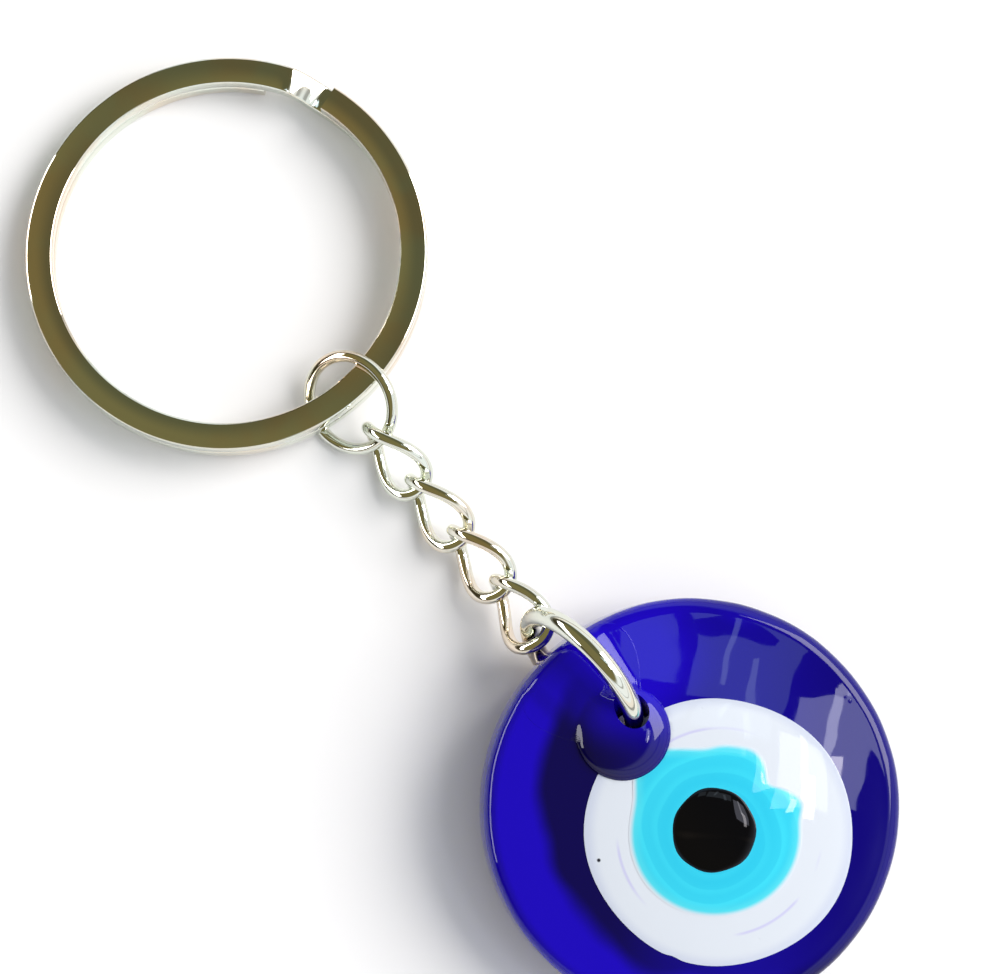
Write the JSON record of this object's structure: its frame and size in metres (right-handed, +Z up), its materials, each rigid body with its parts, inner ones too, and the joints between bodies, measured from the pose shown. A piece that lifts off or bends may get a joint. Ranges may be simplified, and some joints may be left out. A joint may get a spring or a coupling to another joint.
{
  "type": "evil eye keychain",
  "caption": "Evil eye keychain: split ring, small jump ring, twisted curb chain, large jump ring and a cobalt glass eye disc, lying on a table.",
  "frame": {"origin": "middle of the bounding box, on the table", "axes": "+X along the chain from the split ring to the glass eye, +Z up from the table, +Y to the left of that direction"},
  "size_m": [0.0841, 0.0306, 0.012],
  "materials": {
    "ring_chrome": "bright nickel plate, lightly scratched",
    "wire_chrome": "bright nickel plate",
    "cobalt_glass": "glossy, opaque cobalt, wavy hand-made surface",
    "white_glass": "glossy, opaque white",
    "iris_glass": "glossy, opaque light blue with swirls",
    "pupil_glass": "glossy, opaque black"
  },
  "bodies": {
    "split_ring": {"split_ring": "ring_chrome"},
    "small_ring": {"small_jump_ring": "wire_chrome"},
    "link_1": {"chain_link_1": "wire_chrome"},
    "link_2": {"chain_link_2": "wire_chrome"},
    "link_3": {"chain_link_3": "wire_chrome"},
    "link_4": {"chain_link_4": "wire_chrome"},
    "large_ring": {"large_jump_ring": "wire_chrome"},
    "glass_eye": {"cobalt_base": "cobalt_glass", "hanging_lobe": "cobalt_glass", "white_layer": "white_glass", "iris_layer": "iris_glass", "pupil_dot": "pupil_glass"}
  },
  "joints": [
    {"name": "small_ring_slides_round_split_ring", "type": "hinge", "parent": "split_ring", "child": "small_ring", "pos_m": [-0.02691, 0, 0.00071], "axis": [-0.0471, 0, 0.9989], "range_deg": [-110, 70]},
    {"name": "first_link_on_small_ring", "type": "hinge", "parent": "small_ring", "child": "link_1", "pos_m": [-0.00881, -0.00019, 0.0026], "axis": [0.0687, 0.7642, 0.6413], "range_deg": [-30, 30]},
    {"name": "second_link_on_first", "type": "hinge", "parent": "link_1", "child": "link_2", "pos_m": [-0.00415, -0.00019, 0.00237], "axis": [0.0191, 0.9205, 0.3903], "range_deg": [-25, 30]},
    {"name": "third_link_on_second", "type": "hinge", "parent": "link_2", "child": "link_3", "pos_m": [-0.0002, -0.00022, 0.0024], "axis": [0.14, 0.0673, -0.9879], "range_deg": [-25, 30]},
    {"name": "fourth_link_on_third", "type": "hinge", "parent": "link_3", "child": "link_4", "pos_m": [0.00574, -0.00032, 0.00323], "axis": [-0.0264, 0.9517, 0.306], "range_deg": [-25, 30]},
    {"name": "large_ring_on_fourth_link", "type": "hinge", "parent": "link_4", "child": "large_ring", "pos_m": [0.00917, -0.00062, 0.00435], "axis": [0.3219, -0.2165, -0.9217], "range_deg": [-30, 30]},
    {"name": "glass_on_large_ring", "type": "hinge", "parent": "large_ring", "child": "glass_eye", "pos_m": [0.01428, 0, 0.00599], "axis": [0.0406, -0.9694, 0.2419], "range_deg": [-25, 25]}
  ]
}
